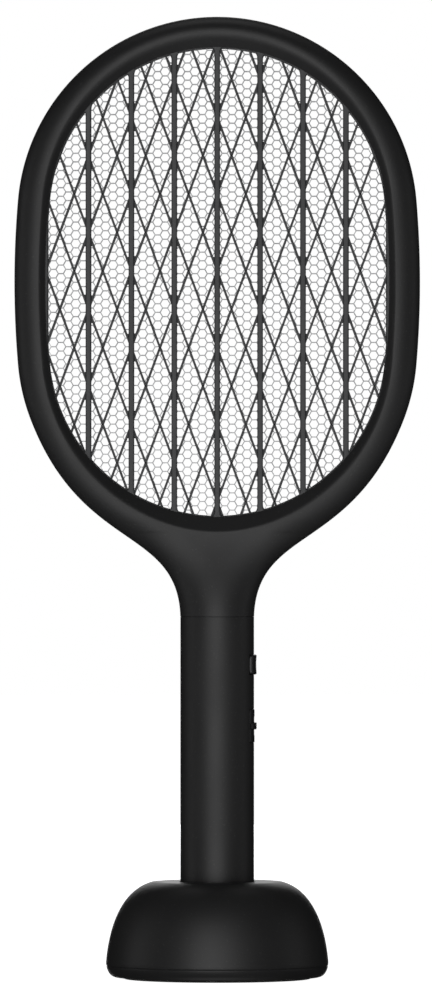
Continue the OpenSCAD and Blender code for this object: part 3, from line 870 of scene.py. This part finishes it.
def honeycomb(y_front, y_back):
    """Front ring, back ring and hole wall of every cell; outer walls where a neighbour is missing."""
    i, j = np.meshgrid(np.arange(-26, 27), np.arange(-32, 33), indexing="ij")
    x = i * column_step
    z = mid_z + (j + 0.5 * (i % 2)) * cell_pitch
    kept = outside_by(x, z) < -net_in
    corner = np.radians(np.arange(7) * 60)
    star = np.stack([np.cos(corner), np.sin(corner)], -1)
    centre = np.stack([x[kept], z[kept]], -1)
    outer = centre[:, None] + star * cell_pitch / math.sqrt(3)
    inner = centre[:, None] + star * (cell_pitch - cell_wall) / math.sqrt(3)

    def level(flat, y):
        return np.stack([flat[..., 0], np.full(flat.shape[:-1], y), flat[..., 1]], -1)

    strips = [
        np.stack([level(outer, y_front), level(inner, y_front)], 1),
        np.stack([level(inner, y_front), level(inner, y_back)], 1),
        np.stack([level(inner, y_back), level(outer, y_back)], 1),
    ]
    strips = np.concatenate(strips)
    count, _, corners, _ = strips.shape
    quads = grid(np.zeros((2, corners, 3)))[1]
    points = strips.reshape(-1, 3)
    faces = (quads[None] + (np.arange(count) * 2 * corners)[:, None, None]).reshape(-1, 4)

    middle = (outer[:, :-1] + outer[:, 1:]) / 2
    beyond = centre[:, None] + 2 * (middle - centre[:, None])
    alone = outside_by(beyond[..., 0], beyond[..., 1]) >= -net_in
    a, b = outer[:, :-1][alone], outer[:, 1:][alone]
    walls = np.stack([level(a, y_front), level(b, y_front), level(b, y_back), level(a, y_back)], 1)
    wall_faces = np.arange(len(walls) * 4).reshape(-1, 4)
    return [(points, faces), (walls.reshape(-1, 3), wall_faces)], kept.sum()


def net(name, y_front, y_back, replaced):
    """One net: honeycomb, a plain strip under the rim and two tabs into the neck."""
    parts, cells = honeycomb(-y_front, -y_back)
    low, high = min(y_front, y_back) - 0.02, max(y_front, y_back) + 0.02
    strip = loop([rim_w - 4, rim_w - 4, rim_w - 1, rim_w - 1], [low, high, high, low])
    foot = low_z - end_r + rim_w - 9
    tabs = [rounded_box((x - 2, -high, foot), (x + 2, -low, foot + 8), 0.02, 0.5) for x in (-8, 8)]
    print(name, "has", cells, "cells")
    return dress(piece(name, parts + [strip] + tabs, "racket", [replaced], 30), net_metal)


net("honeycomb_front", 2.9, 2.5, "ground_net")
net("honeycomb_rear", -2.5, -2.9, "live_net")
dress(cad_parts["net_spacer"], inner_black)

# %% [markdown]
# ## Screws
#
# The heads are small pan heads with a cross recess. The recess is not cut out: the head is a polar grid
# of heights, and where a point lies in the cross its height drops, with soft sides. That keeps every
# screw to a few hundred faces.

# %% Cross-recess screws


def screw(at, axis, head_r=2.6, head_h=1.9, shank_r=1.3, shank_h=9.0, turn=0.0, around=40):
    """Domed head with a cross sunk into it, and a plain shank: height = dome - depth * in_cross."""
    a = np.linspace(0, 2 * np.pi, around, endpoint=False)[None]
    near_edge = head_r * np.array([0.75, 0.88, 0.96, 1.0, 1.0])
    r = np.concatenate([np.linspace(0, head_r * 0.62, 11), near_edge])
    dome = head_h - 0.16 * (r / head_r) ** 2
    dome[-3:] = [head_h - 0.25, head_h - 0.5, 0]
    x, y = r[:, None] * np.cos(a), r[:, None] * np.sin(a)
    c, s = math.cos(turn), math.sin(turn)
    u, v = np.abs(c * x + s * y), np.abs(c * y - s * x)
    thin, long = np.minimum(u, v), np.maximum(u, v)
    in_cross = ease((0.52 - thin) / 0.2) * ease((head_r * 0.6 - long) / 0.35)
    h = dome[:, None] - in_cross * head_h * 0.55
    r_low = np.array([shank_r, shank_r, 0])[:, None]
    h_low = np.array([0, -shank_h, -shank_h])[:, None]
    x = np.concatenate([x, r_low * np.cos(a)])
    y = np.concatenate([y, r_low * np.sin(a)])
    h = np.concatenate([h, h_low + 0 * a])
    to = {"y": (x, h, -y), "-z": (x, -y, -h)}[axis]
    return grid(np.stack(to, -1) + np.array(at), wrap_cols=True)


turns = np.linspace(0.2, 1.4, len(screw_spots))
frame_screws = [screw((x, 6.0, z), "y", 2.3, shank_h=12.5, turn=t)
                for (x, z), t in zip(screw_spots, turns)]
dress(piece("screws_head", frame_screws, "racket", ["frame_screws"], 40), screw_steel)
handle_screw_z = (seam_z - 8, 62.0)
handle_screws = [screw((0, handle_r - 1.2, z), "y", 2.5, 1.0, 1.3, 6.0, t)
                 for z, t in zip(handle_screw_z, (0.5, 1.1))]
dress(piece("screws_handle", handle_screws, "racket", ["handle_screws"], 40), screw_steel)
post_angles = np.radians([-90, 30, 150])
post_r = 41.0
post_spots = [(post_r * math.cos(a), post_r * math.sin(a)) for a in post_angles]
base_screws = [screw((x, y, 3.2), "-z", 2.6, 1.8, 1.3, 12.0, a)
               for (x, y), a in zip(post_spots, post_angles)]
dress(piece("screws_base", base_screws, "dock", ["base_screws"], 40), screw_steel)

# %% [markdown]
# ## The handle
#
# A plain tube with its edges just broken, closed below by a cap whose two holes show the charging
# contacts. On the right side the tube has two windows: one for the trigger, one for the pad with the
# slide switch. The windows are bored out of the turned tube, because a hole through a curved wall is
# exactly what a boolean gives.

# %% Tube and end cap

trigger_z = 168.0
trigger_h = 10.7
switch_z = 135.2
pad_h = 18.2
control_w = 19.2

tube_profile = rounded([(bore_r, tube_low[2]), (handle_r, tube_low[2]), (handle_r, tube_high[2]),
                        (bore_r, tube_high[2])], [0.2, 0.3, 0.22, 0.2], 5)
upright = np.linspace(0, 1, 40)[:, None]
outer_wall = tube_profile[9] + (tube_profile[10] - tube_profile[9]) * upright
tube_profile = np.concatenate([tube_profile[:10], outer_wall[1:-1], tube_profile[10:]])


def window(width, height, z, corner):
    """A closed block through the right wall of the handle with rounded corners."""
    w, h = width / 2, height / 2
    outline = rounded([(-w, -h), (w, -h), (w, h), (-w, h)], corner, 6)
    points, quads = grid(extruded(outline, 8, 26, 0.01), wrap_cols=True)
    return points[:, [2, 0, 1]] + [0, 0, z], quads


def dimple(z):
    """The flat seat for a handle screw's head and its hole."""
    seat = handle_r - 1.25
    profile = [(0, 12), (1.6, 12), (1.6, seat), (2.8, seat), (2.8, 26), (0, 26)]
    return turned(profile, 40, (0, 0, z), "y")


tube_cuts = [window(control_w + 0.5, trigger_h + 0.3, trigger_z, 1.2),
             window(control_w, pad_h + 0.2, switch_z, 1.4)]
tube_cuts += [dimple(z) for z in handle_screw_z]
handle = piece("handle_body", [turned(tube_profile, 160)], "racket", ["handle_tube"], 32,
               cut=tube_cuts)
dress(handle, handle_black)

cap_z = box_mm("handle_end_cap")[0][2]
tube_z = tube_low[2]
collar_r = bore_r - 0.05
collar_bore = bore_r - 2
cap_corners = [(0, cap_z), (handle_r, cap_z), (handle_r, tube_z - 0.12), (collar_r, tube_z - 0.1),
               (collar_r, tube_z + 6), (collar_bore, tube_z + 6), (collar_bore, tube_z + 1),
               (0, tube_z + 1)]
cap_profile = rounded(cap_corners, [0, 1.0, 0.2, 0.05, 0.3, 0.2, 0.3, 0], 6)
hole = [(0, cap_z - 2), (2.5, cap_z - 2), (2.5, cap_z + 8), (0, cap_z + 8)]
pad_holes = [turned(hole, 40, (x, 0, 0)) for x in (-6.5, 6.5)]
end_cap = piece("handle_foot", [turned(cap_profile, 128)], "racket",
                ["handle_end_cap"], 32, cut=pad_holes)
dress(end_cap, shell_black)

# %% [markdown]
# ## The two controls
#
# Both controls are bars bent to the handle's round. A block in polar coordinates does that: its section
# is a rounded rectangle in radius and height, it is carried round a small angle, and near both ends the
# section shrinks along a quarter circle, so that no edge is left sharp. The trigger's face is dished a
# little for the finger, and the slide's ridge has fine grip grooves. Two thin ribs in the trigger reach
# a hair past its block above and below, so that no light shows through the gap to its window; a thin
# plate behind the slide does the same for the slot.

# %% Curved blocks for the trigger, the pad and the slide


def curved_block(r0, r1, width, z0, z1, edge, rows=40, end=None, dish=0.0, grooves=0):
    """Block on the +X side: section (radius, height) carried over the angle that spans the width.

    Within `end` of either end it is drawn in by edge * (1 - sqrt(1 - (1 - left / end)^2)).
    """
    end = end or edge
    half_turn = math.asin(width / 2 / r1)
    even = np.linspace(-1, 1, rows)
    turn = half_turn * (np.sin(even * np.pi / 2) ** 3 * 0.5 + even * 0.5)
    left = np.minimum((half_turn - np.abs(turn)) * r1 / end, 1)
    drawn = edge * (1 - np.sqrt(np.maximum(1 - (1 - left) ** 2, 0)))
    steps = 8
    section = rounded([(r0, z0), (r1, z0), (r1, z1), (r0, z1)], [0.05, edge, edge, 0.05], steps)
    last = 2 * steps - 1
    face = np.linspace(0, 1, 20)[1:-1, None] * (section[last + 1] - section[last]) + section[last]
    section = np.concatenate([section[:last + 1], face, section[last + 1:]])
    middle, half = (z0 + z1) / 2, (z1 - z0) / 2
    share = (section[:, 0] - r0) / (r1 - r0)
    r = section[None, :, 0] - drawn[:, None] * share
    z = middle + (section[None, :, 1] - middle) * (1 - drawn[:, None] / half)
    outer = ease((section[:, 0] - (r1 - 0.2)) / 0.2)
    across = (section[:, 1] - middle) / half
    inner_share = np.cos(turn / half_turn * np.pi / 2)[:, None]
    r = r - dish * outer * (1 - across**2) * inner_share
    if grooves:
        wave = 0.5 - 0.5 * np.cos(across * grooves * 2 * np.pi)
        r = r - 0.16 * outer * wave * np.sqrt(inner_share)
    return capped(np.stack([r * np.cos(turn)[:, None], r * np.sin(turn)[:, None], z], -1))


def block(x, y, z, edge=0.2):
    """A small upright block from three (low, high) pairs."""
    return rounded_box((x[0], y[0], z[0]), (x[1], y[1], z[1]), edge, edge)


def around(z, half):
    """The low and high ends of a span."""
    return z - half, z + half


out_r = box_mm("trigger_button")[1][0]
trigger_span = around(trigger_z, trigger_h / 2)
trigger_flange = around(trigger_z, trigger_h / 2 + 1)
guide_span = around(trigger_z, trigger_h / 2 + 0.11)
trigger_parts = [
    curved_block(12.6, out_r, control_w, *trigger_span, 1.0, end=4.0, dish=0.3),
    block((11.8, 13.2), (-10.6, 10.6), trigger_flange),
    turned([(0, 9.8), (1.5, 9.8), (1.5, 12.5), (0, 12.5)], 24, (0, 0, trigger_z), "x"),
]
trigger_parts += [block((13.5, 19.3), around(y, 0.6), guide_span, 0.03) for y in (-3.0, 3.0)]
dress(piece("trigger", trigger_parts, "trigger", ["trigger_button"], 40), button_black)

pad_r = handle_r + 0.3
pad_span = around(switch_z, pad_h / 2)
pad_block = curved_block(bore_r - 0.3, pad_r, control_w - 0.2, *pad_span, 0.8, end=3.0)
slot_cut = [window(5.2, 10.3, switch_z, 1.0)]
pad = piece("switch_pad", [pad_block], "racket", ["switch_bezel"], 40, cut=slot_cut)
flange_block = curved_block(bore_r - 1.2, bore_r - 0.05, control_w + 2.4, *around(switch_z, 10.4), 0.2)
flange = piece("switch_pad_flange", [flange_block], "racket", cut=slot_cut)
dress(pad, button_black)
dress(flange, button_black)

# The slide: its ridge, the post through the slot, the fork on the switch, and the plate behind the slot.
ridge_span = around(switch_z, 1.85)
ridge_parts = [
    curved_block(pad_r + 0.1, out_r, control_w - 0.8, *ridge_span, 0.7, end=3.0, grooves=2),
    block((9.0, 20.7), (-2.3, 2.3), around(switch_z, 1.8)),
    block((6.6, 9.2), (-1.3, 1.3), around(switch_z, 1.2)),
    block((14.5, 15.3), (-4.4, 4.4), around(switch_z, 8.4)),
]
dress(piece("switch_ridge", ridge_parts, "slider", ["power_slider"], 40), button_black)

# %% [markdown]
# ## The dock
#
# The dock's cover is one turned skin: a flat top that rolls over into a full dome, its widest ring near
# the floor, and a quick tuck to the foot. A hairline runs round it just below the widest ring, where
# the cover meets its base. At the back the wall is open for the charging socket, and three posts
# inside take the screws of the base.

# %% Dome, opening for the inlet, and posts

socket_r = handle_r + 0.4
dock_top = dock_high[2]
dock_r = dock_high[0]
top_r = 34.3
wide_z = 9.0
dock_wall = 2.4
foot_r = dock_r - 5


def dome_line(inward, steps=70):
    """The dome's curve, moved along its normal by `inward`."""
    control = np.array([[top_r, dock_top], [top_r + 13.8, dock_top - 3.4],
                        [dock_r - 2.2, wide_z + 25], [dock_r, wide_z]])
    line = bezier(control, np.linspace(0, 1, steps))
    along = np.gradient(line, axis=0)
    along /= np.linalg.norm(along, axis=1, keepdims=True)
    return line + inward * np.stack([along[:, 1], -along[:, 0]], -1)


def tuck_line(inward, steps=24):
    """Quarter ellipse from the widest ring to the foot."""
    a = np.linspace(0, np.pi / 2, steps)
    return np.stack([foot_r - inward + 5 * np.cos(a), wide_z - (wide_z - 1) * np.sin(a)], -1)


def hairline(line, at, width=0.28, deep=0.3):
    """Sinks a narrow round-bottomed groove into a line at one height."""
    near = np.exp(-(((line[:, 1] - at) / width) ** 2))
    return line - np.stack([near * deep, 0 * near], -1)


fine_tuck = hairline(tuck_line(0, 90), 6.9)
mouth_curve = np.array([[0, -1.0], [0.06, -0.55], [0.25, -0.25], [0.6, -0.05], [1.0, 0]])
mouth = [socket_r, dock_top] + mouth_curve
top_flat = np.stack([np.linspace(socket_r + 1.8, top_r - 1.2, 8), np.full(8, dock_top)], -1)
inside = np.concatenate([tuck_line(dock_wall, 20)[::-1], dome_line(dock_wall, 40)[::-1][1:]])
inside = inside[inside[:, 1] < dock_top - dock_wall]
dome_profile = np.concatenate([mouth, top_flat, dome_line(0)[1:], fine_tuck[1:], inside,
                               [[socket_r, dock_top - dock_wall]]])
inlet_outline = rounded([(-4.8, 12.25), (4.8, 12.25), (4.8, 16.25), (-4.8, 16.25)], 1.9, 8)
inlet_points, inlet_quads = grid(extruded(inlet_outline, -70, -44, 0.01), wrap_cols=True)
inlet_cut = (inlet_points[:, [0, 2, 1]] * [1, -1, 1], inlet_quads)
dock = piece("dock_cover", [turned(dome_profile, 192)], "dock", ["dock_shell"], 28,
             cut=[inlet_cut])
dress(dock, dock_black)
post_profile = rounded([(1.3, 4), (4, 4), (4, 40.5), (1.3, 40.5)], 0.2, 3)
dock_posts = [turned(post_profile, 32, (x, y, 0)) for x, y in post_spots]
dress(piece("dock_posts", dock_posts, "dock"), dock_black)

# %% [markdown]
# The charging socket is a steel shell from the frame. What makes it read as a socket is its dark core:
# a cup with a tongue in it. The cup is one grid of rings: the floor's middle, the floor's edge, up the
# inside, over the rim, down the outside and back to the middle.

# %% Core of the charging socket, and the foot

socket_low, socket_high = box_mm("charge_inlet")
core_z = (socket_low[2] + socket_high[2]) / 2
core_outline = rounded([(-4.08, -1.23), (4.08, -1.23), (4.08, 1.23), (-4.08, 1.23)], 0.4, 4)
core_scale = np.array([(0, 0), (0.91, 0.78), (0.91, 0.78), (1, 1), (1, 1), (0, 0)])
core_rings = core_outline * core_scale[:, None]
core_level = np.array([52.5, 52.5, 57.7, 57.7, 51.05, 51.05])
core_y = np.broadcast_to(core_level[:, None], core_rings.shape[:2])
core_cup = grid(np.stack([core_rings[..., 0], core_y, core_z + core_rings[..., 1]], -1), wrap_cols=True)
tongue = block((-3.1, 3.1), (52.3, 57.2), (core_z - 0.4, core_z + 0.4), 0.1)
dress(piece("inlet_core", [core_cup, tongue], "dock"), inner_black)

foot_profile = rounded([(45.5, 0), (50, 0), (50, 1), (45.5, 1)], 0.35, 4)
dress(piece("foot_pad", [turned(foot_profile, 128)], "dock", ["foot_ring"], 40), rubber)

# %% [markdown]
# ## Springs, leads and the cell
#
# The two high-voltage leads run up from the board into the neck with a little slack.

# %% Coil springs


def coil(radius, wire, length, turns, steps_per_turn=24):
    """Helix (r cos a, r sin a, h) whose first and last turns lie flat: height follows an eased ramp."""
    t = np.linspace(0, 1, int(turns * steps_per_turn))
    a = 2 * np.pi * turns * t
    rest = 1 / turns
    ramp = np.clip((t - rest * 0.9) / (1 - 1.8 * rest), 0, 1)
    closing = ease(t / rest) + ease((t - 1 + rest) / rest)
    h = wire + (length - 3.6 * wire) * ramp + 0.8 * wire * closing
    return np.stack([radius * np.cos(a), radius * np.sin(a), h], -1)


def spring(name, path, wire, replaced):
    """The coil as a tube that rides on no body, with its transform baked into its points."""
    parts = [tube(path, wire, 8, reference=(0.3, 0.2, 0.93))]
    thing = piece(name, parts, None, [replaced], 60)
    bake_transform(thing)
    return dress(thing, spring_steel)


spring_low, spring_high = box_mm("trigger_spring")
trigger_wire, pin_wire = 0.33, 0.19
path = coil(5.15, trigger_wire, spring_high[0] - spring_low[0], 5)
path = np.stack([spring_low[0] + path[:, 2], path[:, 0], trigger_z + path[:, 1]], -1)
spring("spring_trigger", path, trigger_wire,
       "trigger_spring")
for side in ("left", "right"):
    low, high = box_mm("pin_spring_" + side)
    centre = (low + high) / 2
    path = coil(1.4, pin_wire, high[2] - low[2], 4, 16) + [centre[0], centre[1], low[2]]
    spring("spring_pin_" + side, path, pin_wire,
           "pin_spring_" + side)

# %% Leads, cell and the parts that keep their frame shape

lead_low, lead_high = box_mm("hv_leads")
lead_x = (lead_low[0] + lead_high[0]) / 2
height = np.linspace(lead_low[2] + 0.2, lead_high[2] - 0.2, 60)
t = np.linspace(0, 1, 60)
lead_path = [np.stack([lead_x + 0.35 * np.sin(5 * t), s * (3.8 + 0.3 * np.sin(7 * t + s)), height], -1)
             for s in (-1, 1)]
leads = [tube(path, 0.8, 12) for path in lead_path]
dress(piece("leads", leads, "racket", ["hv_leads"], 50), lead_red)

cell_low, cell_high = box_mm("battery_cell")
cell_r = cell_high[0]
cell_end = [(cell_r, 60.3), (cell_r - 0.5, 60.7), (cell_r - 0.5, 61.8), (cell_r, 62.2), (cell_r, 64),
            (5.4, 64), (5.0, 63.4), (3.4, 63.4)]
cell_corners = [(0, cell_low[2]), (cell_r, cell_low[2])] + [(r, cell_low[2] + h) for r, h in cell_end]
cell_corners += [(3.0, cell_high[2]), (0, cell_high[2])]
cell_profile = rounded(cell_corners, [0, 0.8, 0.3, 0.3, 0.3, 0.3, 0.8, 0.2, 0.2, 0.2, 0.4, 0], 5)
dress(piece("cell", [turned(cell_profile, 64)], "racket", ["battery_cell"], 50), cell_blue)

kept = {
    "socket_cup": dock_black, "base_plate": dock_black, "ballast_plate": ballast_steel,
    "charge_board": board_green, "charge_inlet": screw_steel, "pin_housing": inner_black,
    "contact_pin_left": contact_gold, "contact_pin_right": contact_gold, "contact_pads": contact_gold,
    "inner_chassis": inner_black, "main_board": board_green, "hv_transformer": tape_yellow,
    "hv_capacitor": resin_brown, "trigger_switch": button_black, "slide_switch": nickel,
}
for name, material in kept.items():
    dress(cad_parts[name], material)
print("kept from the frame:", len(kept) + 1)

# %% [markdown]
# ## Floor, light and camera
#
# The object stands on a plain white floor that melts into a white background. Black plastic only shows
# what it reflects, so one tall soft light stands near the camera and gives every round form a bright
# middle and dark edges; a second one behind does the same for the back. The world is white where the
# camera looks straight at it, and dim grey for everything that the object reflects.

# %% Floor and world

floor_mesh = bpy.data.meshes.new("floor")
floor_z = -0.0003
floor_half = 8.0
floor_signs = ((-1, -1), (1, -1), (1, 1), (-1, 1))
floor_corners = [(x * floor_half, y * floor_half, floor_z) for x, y in floor_signs]
floor_mesh.from_pydata(floor_corners, [], [(0, 1, 2, 3)])
floor = bpy.data.objects.new("floor", floor_mesh)
bpy.context.scene.collection.objects.link(floor)
floor_paint = Finish("white floor", Base_Color=(0.9, 0.9, 0.9, 1), Roughness=0.9,
                     Emission_Color=(1, 1, 1, 1), Emission_Strength=1.0)
from_below = floor_paint.node("ShaderNodeNewGeometry", output="Backfacing")
floor_paint.feed(floor_paint.shader.inputs["Alpha"], 1 - from_below)
floor_mesh.materials.append(floor_paint.material)
floor.visible_diffuse = False
floor.visible_glossy = False
floor.visible_shadow = False

world = bpy.data.worlds.new("studio")
bpy.context.scene.world = world
world.use_nodes = True
tree = world.node_tree
tree.nodes.clear()
seen, dim = tree.nodes.new("ShaderNodeBackground"), tree.nodes.new("ShaderNodeBackground")
seen.inputs["Color"].default_value = (1, 1, 1, 1)
dim.inputs["Color"].default_value = (1, 1, 1, 1)
dim.inputs["Strength"].default_value = 0.02
which, mix = tree.nodes.new("ShaderNodeLightPath"), tree.nodes.new("ShaderNodeMixShader")
out = tree.nodes.new("ShaderNodeOutputWorld")
tree.links.new(which.outputs["Is Camera Ray"], mix.inputs[0])
tree.links.new(dim.outputs[0], mix.inputs[1])
tree.links.new(seen.outputs[0], mix.inputs[2])
tree.links.new(mix.outputs[0], out.inputs["Surface"])
print("floor at", floor_z, "m")

# %% Soft lights


def softbox(name, at, aim, width, height, brightness):
    """A rectangle of even light; power is brightness * pi * area, so size doesn't change its glare."""
    light = bpy.data.lights.new(name, "AREA")
    light.shape, light.size, light.size_y = "RECTANGLE", width, height
    light.energy = brightness * math.pi * width * height
    lamp = bpy.data.objects.new(name, light)
    lamp.location = at
    way = np.array(aim, float) - np.array(at, float)
    lamp.rotation_euler = (
        math.acos(-way[2] / np.linalg.norm(way)), 0, math.atan2(way[1], way[0]) - math.pi / 2,
    )
    lamp.visible_camera = False
    bpy.context.scene.collection.objects.link(lamp)
    print(name, "light:", round(light.energy, 1), "W")


softbox("key", (-0.22, -2.4, 0.30), (0, 0, 0.28), 1.9, 2.7, 1.85)
softbox("bounce", (0.0, -0.85, -0.01), (0.0, -0.849, 1.0), 2.0, 1.2, 0.5)
softbox("back", (0.0, 2.6, 0.40), (0, 0, 0.25), 1.3, 2.2, 2.0)
softbox("left", (-2.4, 0.0, 0.35), (0, 0, 0.25), 0.8, 1.6, 0.8)
softbox("right", (2.4, 0.0, 0.35), (0, 0, 0.25), 0.8, 1.6, 0.55)
softbox("overhead", (0.0, 0.6, 2.2), (0, 0, 0.25), 1.4, 1.0, 0.7)
softbox("under", (0.0, 0.0, -2.2), (0, 0.001, 0.0), 1.2, 1.2, 0.8)

# %% Camera

camera_data = bpy.data.cameras.new("camera")
camera = bpy.data.objects.new("camera", camera_data)
distance = 5.5
frame_height = 0.535
camera_data.lens = camera_data.sensor_width * distance / frame_height
camera.location = (-0.00065, -distance, 0.256)
camera.rotation_euler = (math.pi / 2, 0, 0)
bpy.context.scene.collection.objects.link(camera)
bpy.context.scene.camera = camera
bpy.context.scene.view_settings.view_transform = "Standard"
print("lens:", round(camera_data.lens), "mm")
